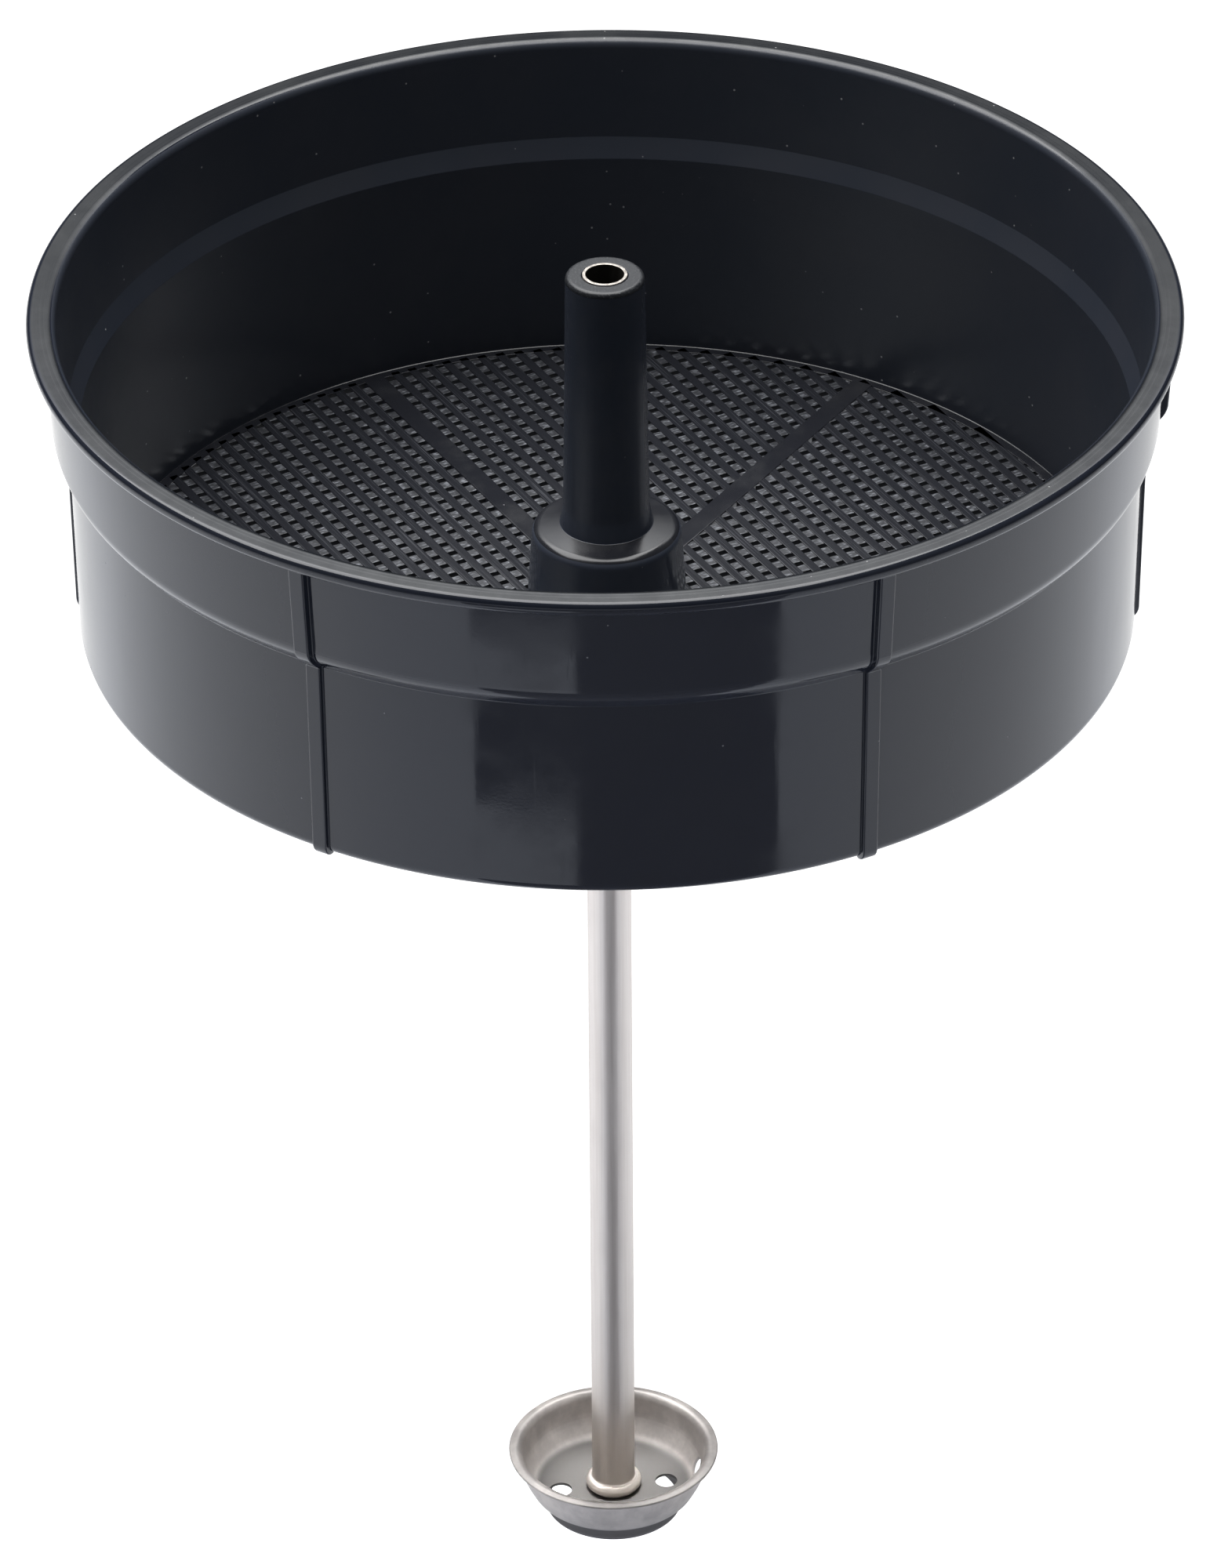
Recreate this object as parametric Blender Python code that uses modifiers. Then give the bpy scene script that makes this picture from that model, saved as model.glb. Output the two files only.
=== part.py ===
"""Filter basket of a percolator urn, on its riser pump.

The basket is a round plastic bowl with a sieve floor and a hollow centre stem. It sits on a stainless
riser tube, which is staked into a pressed foot cup with a rubber ring under it. Units are metres, +Z
is up, and the origin is the centre of the ring's underside. Heights count from there.
"""
import math

import bmesh
import bpy

MM = 0.001
OBJECT_NAME = "urn_filter_basket"
GAP = 0.3 * MM

# Driving dimensions of the basket's wall
RIM_RADIUS = 127.0 * MM
RIM_HEIGHT = 325.3 * MM
LIP_DEPTH = 3.4 * MM
LIP_ROUND = 0.8 * MM
LIP_FLAT_WIDTH = 5.0 * MM
LIP_CHAMFER = 1.3 * MM
BASKET_DEPTH = 78.5 * MM
UPPER_WALL_RADIUS = 122.9 * MM
STEP_RADIUS = 121.7 * MM
STEP_DEPTH = 24.4 * MM
STEP_FALL = 5.9 * MM
LOWER_WALL_RADIUS = 118.6 * MM
FLOOR_WALL_RADIUS = 117.6 * MM
CORNER_ROUND = 2.5 * MM
LEDGE_DEPTH = 23.9 * MM
LEDGE_FALL = 4.7 * MM
LEDGE_RADIUS = 118.5 * MM
LEDGE_FOOT_RADIUS = 116.45 * MM
INNER_FLOOR_RADIUS = 114.8 * MM

# Ribs and floor
RIB_COUNT = 6
RIB_PHASE = math.radians(58.3)
RIB_WIDTH = 4.0 * MM
RIB_PROUD = 1.9 * MM
RIB_ROOT = 0.7 * MM
RIB_TAIL = 0.6 * MM
SIEVE_THICKNESS = 1.6 * MM
SPOKE_WIDTH = 5.0 * MM
SPOKE_PROUD = 0.2 * MM
SPOKE_INSET = 0.6 * MM

# Centre boss and stem
STEM_TOP = 332.3 * MM
STEM_TOP_RADIUS = 8.6 * MM
STEM_FOOT_RADIUS = 10.1 * MM
STEM_BORE = 5.2 * MM
STEM_ROUND = 0.7 * MM
BOSS_TOP = 268.0 * MM
BOSS_TOP_RADIUS = 16.5 * MM
BOSS_FOOT_RADIUS = 18.0 * MM
BOSS_ROUND = 1.7 * MM
BOSS_WALL = 2.3 * MM
BOSS_CEILING = 2.6 * MM
STEM_FILLET = 1.8 * MM

# Riser tube
TUBE_RADIUS = 5.0 * MM
TUBE_BORE = 4.25 * MM
TUBE_TOP = 332.6 * MM
TUBE_FOOT = 2.5 * MM
FLARE_RADIUS = 6.4 * MM
BEAD_HALF_HEIGHT = 1.5 * MM
STOP_BEAD_RADIUS = 7.0 * MM
CUP_BEAD_RADIUS = 6.5 * MM

# Foot cup and seal
CUP_RIM_RADIUS = 24.6 * MM
CUP_RIM_HEIGHT = 15.9 * MM
CUP_MOUTH_RADIUS = 22.5 * MM
CUP_MOUTH_ROUND = 1.1 * MM
CUP_WAIST_RADIUS = 20.0 * MM
CUP_WAIST_HEIGHT = 9.1 * MM
CUP_FLOOR_RADIUS = 17.2 * MM
CUP_FLOOR_HEIGHT = 4.3 * MM
CUP_SHEET = 0.7 * MM
CUP_TUBE_HOLE = 5.3 * MM
FLOOR_HOLE_RADIUS = 2.6 * MM
FLOOR_HOLE_PITCH = 12.5 * MM
FLOOR_HOLE_ANGLES = (math.radians(7.5), math.radians(187.5))
WALL_HOLE_RADIUS = 2.0 * MM
WALL_HOLE_HEIGHT = 8.6 * MM
WALL_HOLE_TILT = math.radians(62.0)
SEAL_TOP_RADIUS = 16.6 * MM
SEAL_FOOT_RADIUS = 15.9 * MM
SEAL_BORE = 15.2 * MM
SEAL_ROUND = 0.3 * MM

# Facets round each turned piece. A rib sits inside one facet of the shell.
SHELL_STEPS = 96
HUB_STEPS = 48
TUBE_STEPS = 32
CUP_STEPS = 64
SMOOTH_ANGLE = math.radians(35.0)


def clear_scene():
    for old in list(bpy.data.objects):
        bpy.data.objects.remove(old, do_unlink=True)


def new_collection(name):
    group = bpy.data.collections.new(name)
    bpy.context.scene.collection.children.link(group)
    return group


def make_material(name, colour, roughness, metallic):
    material = bpy.data.materials.new(name)
    material.use_nodes = True
    shader = material.node_tree.nodes["Principled BSDF"]
    shader.inputs["Base Color"].default_value = (*colour, 1.0)
    shader.inputs["Roughness"].default_value = roughness
    shader.inputs["Metallic"].default_value = metallic
    return material


def arc(centre_r, centre_z, radius, start_deg, end_deg, count):
    """Points of a profile arc; 0 degrees points outwards and 90 degrees points up."""
    points = []
    for i in range(count):
        angle = math.radians(start_deg + (end_deg - start_deg) * i / (count - 1))
        points.append((centre_r + radius * math.cos(angle), centre_z + radius * math.sin(angle)))
    return points


def bead(radius, height):
    """Half-round swelling of the tube's outer side, from its upper to its lower end."""
    proud = radius - TUBE_RADIUS
    count = 7
    points = []
    for i in range(count):
        angle = math.pi * i / (count - 1)
        points.append((TUBE_RADIUS + proud * math.sin(angle), height + BEAD_HALF_HEIGHT * math.cos(angle)))
    return points


def offset_outline(points, distance):
    """The open profile moved sideways by distance, to the left of its direction, with mitred corners."""
    directions = []
    for (r0, z0), (r1, z1) in zip(points, points[1:]):
        length = math.hypot(r1 - r0, z1 - z0)
        directions.append(((r1 - r0) / length, (z1 - z0) / length))
    moved = []
    for i, (r, z) in enumerate(points):
        before = directions[max(i - 1, 0)]
        after = directions[min(i, len(directions) - 1)]
        normal = (-(before[1] + after[1]), before[0] + after[0])
        scale = distance / (1.0 + before[0] * after[0] + before[1] * after[1])
        moved.append((r + normal[0] * scale, z + normal[1] * scale))
    return moved


def turned(name, profile, steps, material, group):
    """A closed profile in the XZ plane, turned once round the Z axis."""
    mesh = bpy.data.meshes.new(name)
    count = len(profile)
    corners = [(r, 0.0, z) for r, z in profile]
    edges = [(i, (i + 1) % count) for i in range(count)]
    mesh.from_pydata(corners, edges, [])
    piece = bpy.data.objects.new(name, mesh)
    group.objects.link(piece)
    screw = piece.modifiers.new("turn", 'SCREW')
    screw.axis = 'Z'
    screw.angle = math.tau
    screw.steps = steps
    screw.render_steps = steps
    screw.use_merge_vertices = True
    screw.merge_threshold = 0.000001
    screw.use_smooth_shade = True
    mesh.materials.append(material)
    return piece


def frozen(piece):
    """The piece's evaluated mesh in place of its modifiers, smooth but for its sharp edges."""
    shown = piece.evaluated_get(bpy.context.evaluated_depsgraph_get())
    mesh = bpy.data.meshes.new_from_object(shown)
    piece.modifiers.clear()
    piece.data = mesh
    mesh.shade_smooth()
    mesh.set_sharp_from_angle(angle=SMOOTH_ANGLE)


def cutter(name, location, rotation, radius, depth, group):
    bpy.ops.mesh.primitive_cylinder_add(vertices=24, radius=radius, depth=depth, location=location,
                                        rotation=rotation)
    tool = bpy.context.active_object
    tool.name = name
    move_to(tool, group)
    tool.hide_render = True
    tool.display_type = 'WIRE'
    return tool


def move_to(piece, group):
    for holder in list(piece.users_collection):
        holder.objects.unlink(piece)
    group.objects.link(piece)


def add_boolean(piece, tool, operation):
    boolean = piece.modifiers.new(tool.name, 'BOOLEAN')
    boolean.operation = operation
    boolean.solver = 'EXACT'
    boolean.object = tool


def outer_wall():
    """The wall's outer side, from under the lip down to the round of the bottom corner."""
    lip_foot = RIM_HEIGHT - LIP_DEPTH
    step_top = RIM_HEIGHT - STEP_DEPTH
    step_foot = step_top - STEP_FALL
    points = [(UPPER_WALL_RADIUS, lip_foot)]
    points += [(STEP_RADIUS, step_top), (STEP_RADIUS - 0.4 * MM, step_top - 1.5 * MM)]
    points += [(STEP_RADIUS - 1.2 * MM, step_top - 3.0 * MM), (LOWER_WALL_RADIUS, step_foot)]
    points += [(FLOOR_WALL_RADIUS, RIM_HEIGHT - BASKET_DEPTH + CORNER_ROUND)]
    return points


def shell_profile():
    bottom = RIM_HEIGHT - BASKET_DEPTH
    lip_foot = RIM_HEIGHT - LIP_DEPTH
    edge = RIM_RADIUS - LIP_ROUND
    profile = arc(edge, RIM_HEIGHT - LIP_ROUND, LIP_ROUND, 90.0, 0.0, 4)
    profile += arc(edge, lip_foot + LIP_ROUND, LIP_ROUND, 0.0, -90.0, 4)
    profile += outer_wall()
    profile += arc(FLOOR_WALL_RADIUS - CORNER_ROUND, bottom + CORNER_ROUND, CORNER_ROUND, 0.0, -90.0, 5)[1:]
    profile += [(INNER_FLOOR_RADIUS, bottom)]
    profile += [(LEDGE_FOOT_RADIUS, RIM_HEIGHT - LEDGE_DEPTH - LEDGE_FALL)]
    profile += [(LEDGE_RADIUS, RIM_HEIGHT - LEDGE_DEPTH)]
    flat_inner = RIM_RADIUS - LIP_FLAT_WIDTH
    profile += [(flat_inner - LIP_CHAMFER, RIM_HEIGHT - LIP_CHAMFER), (flat_inner, RIM_HEIGHT)]
    return profile


def make_rib(index, material, tools):
    """One rib: its outline follows the wall's outer side, and its root is inside the wall."""
    bottom = RIM_HEIGHT - BASKET_DEPTH
    wall = outer_wall()
    wall[0] = (wall[0][0], wall[0][1] - 0.2 * MM)
    face = [(r + RIB_PROUD, z) for r, z in wall]
    tail = FLOOR_WALL_RADIUS + RIB_PROUD - CORNER_ROUND
    face += arc(tail, bottom + CORNER_ROUND - RIB_TAIL, CORNER_ROUND, 0.0, -90.0, 5)[1:]
    face += [(INNER_FLOOR_RADIUS + RIB_ROOT, bottom - RIB_TAIL)]
    root = [(r - RIB_ROOT, z) for r, z in reversed(wall)]
    outline = face + [(INNER_FLOOR_RADIUS + RIB_ROOT, bottom + CORNER_ROUND)] + root
    curve = bpy.data.curves.new("rib", 'CURVE')
    curve.dimensions = '2D'
    curve.fill_mode = 'BOTH'
    curve.extrude = RIB_WIDTH / 2.0
    spline = curve.splines.new('POLY')
    spline.points.add(len(outline) - 1)
    for point, (r, z) in zip(spline.points, outline):
        point.co = (r, z, 0.0, 1.0)
    spline.use_cyclic_u = True
    guide = bpy.data.objects.new("rib_outline", curve)
    tools.objects.link(guide)
    guide.rotation_euler = (math.pi / 2.0, 0.0, RIB_PHASE + index * math.tau / RIB_COUNT)
    return solid_from_curve(guide, f"rib_{index + 1}", material, tools)


def solid_from_curve(guide, name, material, group):
    bpy.context.view_layer.update()
    shown = guide.evaluated_get(bpy.context.evaluated_depsgraph_get())
    mesh = bpy.data.meshes.new_from_object(shown)
    welded = bmesh.new()
    welded.from_mesh(mesh)
    bmesh.ops.remove_doubles(welded, verts=welded.verts, dist=0.00001)
    bmesh.ops.recalc_face_normals(welded, faces=welded.faces)
    welded.to_mesh(mesh)
    welded.free()
    mesh.materials.append(material)
    solid = bpy.data.objects.new(name, mesh)
    group.objects.link(solid)
    solid.matrix_world = guide.matrix_world
    solid.hide_render = True
    solid.display_type = 'WIRE'
    bpy.data.objects.remove(guide, do_unlink=True)
    return solid


def make_shell(material, parts, tools):
    shell = turned("basket_shell", shell_profile(), SHELL_STEPS, material, parts)
    shell.rotation_euler.z = RIB_PHASE - math.pi / SHELL_STEPS
    for index in range(RIB_COUNT):
        add_boolean(shell, make_rib(index, material, tools), 'UNION')
    frozen(shell)


def make_spoke(index, tools):
    """One flat spoke, from the boss to the wall, a little proud of the sieve's upper side."""
    sieve_top = RIM_HEIGHT - BASKET_DEPTH + SIEVE_THICKNESS
    inner = BOSS_FOOT_RADIUS + GAP + SPOKE_INSET
    outer = INNER_FLOOR_RADIUS - GAP - SPOKE_INSET
    middle = (inner + outer) / 2.0
    height = sieve_top + (SPOKE_PROUD - SPOKE_INSET) / 2.0
    angle = RIB_PHASE + index * math.tau / RIB_COUNT
    spot = (middle * math.cos(angle), middle * math.sin(angle), height)
    bpy.ops.mesh.primitive_cube_add(size=1.0, location=spot, rotation=(0.0, 0.0, angle))
    spoke = bpy.context.active_object
    spoke.name = f"spoke_{index + 1}"
    spoke.scale = (outer - inner, SPOKE_WIDTH, SPOKE_INSET + SPOKE_PROUD)
    move_to(spoke, tools)
    spoke.hide_render = True
    spoke.display_type = 'WIRE'
    return spoke


def make_sieve(material, parts, tools):
    bottom = RIM_HEIGHT - BASKET_DEPTH
    outer = INNER_FLOOR_RADIUS - GAP
    inner = BOSS_FOOT_RADIUS + GAP
    top = bottom + SIEVE_THICKNESS
    profile = [(outer, top), (outer, bottom), (inner, bottom), (inner, top)]
    sieve = turned("sieve_floor", profile, SHELL_STEPS, material, parts)
    sieve.rotation_euler.z = RIB_PHASE - math.pi / SHELL_STEPS
    for index in range(RIB_COUNT):
        add_boolean(sieve, make_spoke(index, tools), 'UNION')
    frozen(sieve)


def make_hub(material, parts):
    bottom = RIM_HEIGHT - BASKET_DEPTH
    ceiling = BOSS_TOP - BOSS_CEILING
    profile = arc(STEM_TOP_RADIUS - STEM_ROUND, STEM_TOP - STEM_ROUND, STEM_ROUND, 90.0, 0.0, 4)
    profile += arc(STEM_FOOT_RADIUS + STEM_FILLET, BOSS_TOP + STEM_FILLET, STEM_FILLET, 180.0, 270.0, 4)
    profile += arc(BOSS_TOP_RADIUS - BOSS_ROUND, BOSS_TOP - BOSS_ROUND, BOSS_ROUND, 90.0, 0.0, 5)
    profile += [(BOSS_FOOT_RADIUS, bottom), (BOSS_FOOT_RADIUS - BOSS_WALL, bottom)]
    profile += [(BOSS_TOP_RADIUS - BOSS_WALL, ceiling), (STEM_BORE, ceiling), (STEM_BORE, STEM_TOP)]
    frozen(turned("centre_hub", profile, HUB_STEPS, material, parts))


def make_tube(material, parts):
    stop_height = BOSS_TOP - BOSS_CEILING - GAP - BEAD_HALF_HEIGHT
    cup_bead_height = CUP_FLOOR_HEIGHT + GAP + BEAD_HALF_HEIGHT
    flare_top = CUP_FLOOR_HEIGHT - CUP_SHEET - GAP
    profile = [(TUBE_RADIUS, TUBE_TOP)]
    profile += bead(STOP_BEAD_RADIUS, stop_height)
    profile += bead(CUP_BEAD_RADIUS, cup_bead_height)
    profile += [(TUBE_RADIUS, flare_top), (FLARE_RADIUS, flare_top), (FLARE_RADIUS, TUBE_FOOT)]
    profile += [(TUBE_BORE, TUBE_FOOT), (TUBE_BORE, TUBE_TOP)]
    frozen(turned("riser_tube", profile, TUBE_STEPS, material, parts))


def make_cup(material, parts, tools):
    mouth = CUP_MOUTH_RADIUS - CUP_MOUTH_ROUND
    inside = [(CUP_TUBE_HOLE, CUP_FLOOR_HEIGHT), (CUP_FLOOR_RADIUS, CUP_FLOOR_HEIGHT)]
    inside += [(CUP_FLOOR_RADIUS + 1.6 * MM, CUP_FLOOR_HEIGHT + 2.2 * MM)]
    inside += [(CUP_WAIST_RADIUS, CUP_WAIST_HEIGHT)]
    inside += arc(CUP_MOUTH_RADIUS, CUP_RIM_HEIGHT - CUP_MOUTH_ROUND, CUP_MOUTH_ROUND, 180.0, 90.0, 5)
    inside += [(CUP_RIM_RADIUS, CUP_RIM_HEIGHT - 0.2 * MM)]
    outside = offset_outline(inside, -CUP_SHEET)
    profile = list(reversed(inside)) + outside
    profile.reverse()
    cup = turned("foot_cup", profile, CUP_STEPS, material, parts)
    for index, angle in enumerate(FLOOR_HOLE_ANGLES):
        spot = (FLOOR_HOLE_PITCH * math.cos(angle), FLOOR_HOLE_PITCH * math.sin(angle), CUP_FLOOR_HEIGHT)
        tool = cutter(f"floor_hole_{index + 1}", spot, (0.0, 0.0, 0.0), FLOOR_HOLE_RADIUS, 6.0 * MM, tools)
        add_boolean(cup, tool, 'DIFFERENCE')
    spot = (CUP_WAIST_RADIUS, 0.0, WALL_HOLE_HEIGHT)
    tool = cutter("wall_hole", spot, (0.0, WALL_HOLE_TILT, 0.0), WALL_HOLE_RADIUS, 8.0 * MM, tools)
    add_boolean(cup, tool, 'DIFFERENCE')
    frozen(cup)


def make_seal(material, parts):
    top = CUP_FLOOR_HEIGHT - CUP_SHEET - GAP
    profile = [(SEAL_TOP_RADIUS, top), (SEAL_FOOT_RADIUS + SEAL_ROUND, 2.0 * SEAL_ROUND)]
    profile += arc(SEAL_FOOT_RADIUS - SEAL_ROUND, SEAL_ROUND, SEAL_ROUND, 0.0, -90.0, 3)
    profile += [(SEAL_BORE, 0.0), (SEAL_BORE, top)]
    frozen(turned("foot_seal", profile, HUB_STEPS, material, parts))


def main():
    clear_scene()
    parts = new_collection(OBJECT_NAME)
    tools = new_collection("cutters")
    plastic = make_material("basket_plastic", (0.008, 0.010, 0.016), 0.12, 0.0)
    sieve_plastic = make_material("sieve_plastic", (0.014, 0.016, 0.020), 0.32, 0.0)
    tube_steel = make_material("tube_steel", (0.60, 0.57, 0.55), 0.28, 1.0)
    cup_steel = make_material("cup_steel", (0.55, 0.53, 0.52), 0.32, 1.0)
    rubber = make_material("seal_rubber", (0.045, 0.045, 0.050), 0.60, 0.0)
    make_shell(plastic, parts, tools)
    make_sieve(sieve_plastic, parts, tools)
    make_hub(plastic, parts)
    make_tube(tube_steel, parts)
    make_cup(cup_steel, parts, tools)
    make_seal(rubber, parts)


main()
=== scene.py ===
import math

import bmesh
import bpy
from mathutils import Matrix, Vector, noise


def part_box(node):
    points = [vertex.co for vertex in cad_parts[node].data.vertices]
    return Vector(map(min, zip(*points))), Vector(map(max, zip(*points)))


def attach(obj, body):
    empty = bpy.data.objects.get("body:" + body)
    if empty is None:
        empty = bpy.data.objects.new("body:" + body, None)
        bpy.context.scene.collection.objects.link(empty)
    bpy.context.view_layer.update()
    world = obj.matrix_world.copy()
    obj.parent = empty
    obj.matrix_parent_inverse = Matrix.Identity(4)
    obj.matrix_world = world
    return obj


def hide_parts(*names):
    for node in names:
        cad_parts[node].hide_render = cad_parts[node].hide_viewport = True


# The visible surfaces of a percolator urn's filter basket and its riser pump, built round the CAD
# frame. Lengths are metres, +Z is up, and heights count from the seal's underside.
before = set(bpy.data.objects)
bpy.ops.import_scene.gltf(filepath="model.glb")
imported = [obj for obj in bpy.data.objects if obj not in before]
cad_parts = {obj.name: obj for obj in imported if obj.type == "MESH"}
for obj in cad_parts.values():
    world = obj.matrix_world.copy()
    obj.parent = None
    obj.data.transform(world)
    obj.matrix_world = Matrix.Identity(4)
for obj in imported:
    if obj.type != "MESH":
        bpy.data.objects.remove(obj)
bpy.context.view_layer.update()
MM = 0.001

# Driving heights, read from the frame
RIM_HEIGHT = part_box("basket_shell")[1].z
BASKET_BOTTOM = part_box("sieve_floor")[0].z
STEM_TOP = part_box("centre_hub")[1].z
TUBE_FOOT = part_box("riser_tube")[0].z
TUBE_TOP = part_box("riser_tube")[1].z
CUP_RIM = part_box("foot_cup")[1].z
SEAL_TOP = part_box("foot_seal")[1].z

# Rim and lip. Depths count down from the rim's top.
RIM_RADIUS = 127.0 * MM
RIM_FALL = 0.16 * MM
RIM_INNER_ROUND = 2.0 * MM
RIM_OUTER_ROUND = 1.35 * MM
RIDGE_COUNT = 4
RIDGE_START = 2.2 * MM
RIDGE_PITCH = 0.3 * MM
RIDGE_DEPTH = 0.02 * MM
PARTING_DEPTH = 1.62 * MM
PARTING_STEP = 0.08 * MM
LIP_DEPTH = 3.4 * MM
LIP_TAPER = 0.2 * MM
LIP_ROUND = 1.5 * MM
RIM_FINISH_DEPTH = 0.25 * MM
RIM_FINISH_MARGIN = 1.1 * MM
INNER_FINISH_DEPTH = 0.45 * MM

# Basket wall
UPPER_WALL_RADIUS = 123.7 * MM
STEP_RADIUS = 122.2 * MM
STEP_DEPTH = 24.4 * MM
STEP_FALL = 5.9 * MM
LOWER_WALL_RADIUS = 118.6 * MM
FLOOR_WALL_RADIUS = 117.57 * MM
FLOOR_ROUND = 2.5 * MM
INNER_TOP_RADIUS = 120.7 * MM
LEDGE_DEPTH = 23.9 * MM
LEDGE_FALL = 4.5 * MM
LEDGE_RADIUS = 118.5 * MM
LEDGE_FOOT_RADIUS = 116.1 * MM
INNER_FLOOR_RADIUS = 114.8 * MM
# Radii inside the wall's thickness: at the rim, the step's top, the step's foot and the floor
MIDDLE_RADII = (121.4 * MM, 120.0 * MM, 117.5 * MM, 115.05 * MM)

# Ribs
RIB_COUNT = 6
RIB_PHASE = math.radians(58.3)
RIB_HALF_WIDTH = 1.8 * MM
RIB_PROUD = 1.75 * MM
RIB_LOWER_SHARE = 0.58
RIB_EDGE = 0.4 * MM
RIB_FILLET = 0.15 * MM
RIB_TAIL = 0.6 * MM
RIB_REFERENCE_RADIUS = 121.0 * MM

# Sieve
LATTICE_ANGLE = RIB_PHASE + math.tau / RIB_COUNT
LATTICE_PITCH = 4.2 * MM
BAR_WIDTH = 2.2 * MM
CROSS_WIDTH = 2.65 * MM
BAR_HEIGHT = 0.22 * MM
CROSS_HEIGHT = 1.3 * MM
SPOKE_WIDTH = 5.0 * MM
SPOKE_PROUD = 0.12 * MM
SIEVE_TOP = BASKET_BOTTOM + 1.6 * MM
SIEVE_EDGE = 0.12 * MM
RING_WIDTH = 2.4 * MM

# Boss and stem
BOSS_TOP = 268.0 * MM
BOSS_CEILING = BOSS_TOP - 2.6 * MM
BOSS_REACH = 17.3 * MM
BOSS_FOOT_RADIUS = 18.0 * MM
BOSS_FOOT_BORE = 15.7 * MM
STEM_BORE = 5.2 * MM
STEM_RADIUS = 8.75 * MM
STEM_FOOT_RADIUS = 10.35 * MM
STEM_FOOT_HEIGHT = 1.5 * MM
MOUTH_WEAR_DEPTH = 1.2 * MM

# Riser tube
TUBE_RADIUS = 5.0 * MM
TUBE_BORE = 4.25 * MM
STOP_RADIUS = 7.0 * MM
STOP_TOP = BOSS_CEILING - 0.3 * MM
STOP_HEIGHT = 3.0 * MM
BEAD_RADIUS = 6.5 * MM
BEAD_ROUND = 1.35 * MM
FLARE_RADIUS = 6.4 * MM
CUT_WAVE = 0.1 * MM

# Foot cup
SHEET = 0.7 * MM
CUP_FLOOR = 4.3 * MM
CUP_BORE = 5.3 * MM
CUP_FLOOR_RADIUS = 18.2 * MM
CUP_WAIST_RADIUS = 20.7 * MM
CUP_WAIST_HEIGHT = 9.6 * MM
CUP_MOUTH = 22.5 * MM
CUP_EDGE = 24.6 * MM
HOLE_HEADING = math.radians(7.5)
FLOOR_HOLE_REACH = 12.5 * MM
FLOOR_HOLE_RADIUS = 2.6 * MM
WALL_HOLE_REACH = 20.1 * MM
WALL_HOLE_HEIGHT = 7.5 * MM
WALL_HOLE_RADIUS = 2.1 * MM
CUTTER_LENGTH = 7.0 * MM

# Foot seal
SEAL_BORE = 15.2 * MM
SEAL_TOP_RADIUS = 16.6 * MM
SEAL_FOOT_RADIUS = 15.9 * MM

# Mesh
SUPPORT = 0.15 * MM
ARC_STEP = math.radians(9.0)
SHARP_ANGLE = math.radians(40.0)
CUP_SHARP_ANGLE = math.radians(30.0)
WALL_COLUMNS = 240
TURNED_COLUMNS = 144
TUBE_COLUMNS = 96

# Stage. The flag's headings are degrees from straight ahead.
WHITE = (1.0, 1.0, 1.0)
FLOOR_RADIUS = 14.0
FLAG_HEIGHT = 0.8 * MM
FLAG_REACHES = (0.04, 0.38, 0.50, 1.10)
FLAG_LEFT, FLAG_RIGHT = -25.6, 32.7
FLAG_NOTCH_LEFT = -6.0
CARD_LEFT, CARD_RIGHT = -1.0, 0.8
CARD_LOW, CARD_HIGH = 0.62, 1.40
CARD_BACK = 1.0

# Camera: it stands back from the object's axis and above the rim. Lens and sensor are in millimetres.
CAMERA_LENS = 240.46
CAMERA_SENSOR = 36.0
CAMERA_BACK = 1995.48 * MM
CAMERA_RISE = 1143.77 * MM
CAMERA_YAW = math.radians(0.0228)
CAMERA_PITCH = math.radians(57.5478)
CAMERA_ROLL = math.radians(-0.4344)

UP = Vector((0.0, 0.0, 1.0))


# ---------------------------------------------------------------- outlines

def filleted(corners):
    """A closed outline from (r, z, fillet radius) corners, with a point close to both ends of each
    straight side so that smooth shading stays flat there."""
    points = []
    count = len(corners)
    for i, (r, z, radius) in enumerate(corners):
        here = Vector((r, z))
        before = Vector(corners[i - 1][:2])
        after = Vector(corners[(i + 1) % count][:2])
        arrive = (here - before).normalized()
        leave = (after - here).normalized()
        turn = arrive.angle_signed(leave)
        if radius <= 0.0 or abs(turn) < 0.02:
            points.append(here)
            continue
        reach = radius * math.tan(abs(turn) / 2.0)
        side = 1.0 if turn < 0.0 else -1.0
        normal = Vector((-arrive.y, arrive.x)) * side
        centre = here - arrive * reach + normal * radius
        steps = max(2, math.ceil(abs(turn) / ARC_STEP))
        spoke = -normal
        for k in range(steps + 1):
            angle = -turn * k / steps
            cosine, sine = math.cos(angle), math.sin(angle)
            points.append(centre + radius * Vector((spoke.x * cosine - spoke.y * sine,
                                                    spoke.x * sine + spoke.y * cosine)))
    return supported(points)


def supported(points):
    """The outline as (r, z) pairs, with the extra points near the ends of its long straight sides."""
    outline = []
    for i, here in enumerate(points):
        after = points[(i + 1) % len(points)]
        gap = after - here
        outline.append(here)
        if gap.length > 4.0 * SUPPORT:
            step = gap.normalized() * SUPPORT
            outline += [here + step, after - step]
    return [(p.x, p.y) for p in outline]


def curve_points(start, lead, trail, end, count):
    """Points along a cubic curve between two corners, both ends left out."""
    points = []
    for k in range(1, count):
        t = k / count
        weights = ((1 - t) ** 3, 3 * t * (1 - t) ** 2, 3 * t * t * (1 - t), t ** 3)
        r = sum(w * p[0] for w, p in zip(weights, (start, lead, trail, end)))
        z = sum(w * p[1] for w, p in zip(weights, (start, lead, trail, end)))
        points.append((r, z, 0.0))
    return points


# ---------------------------------------------------------------- meshes

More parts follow.
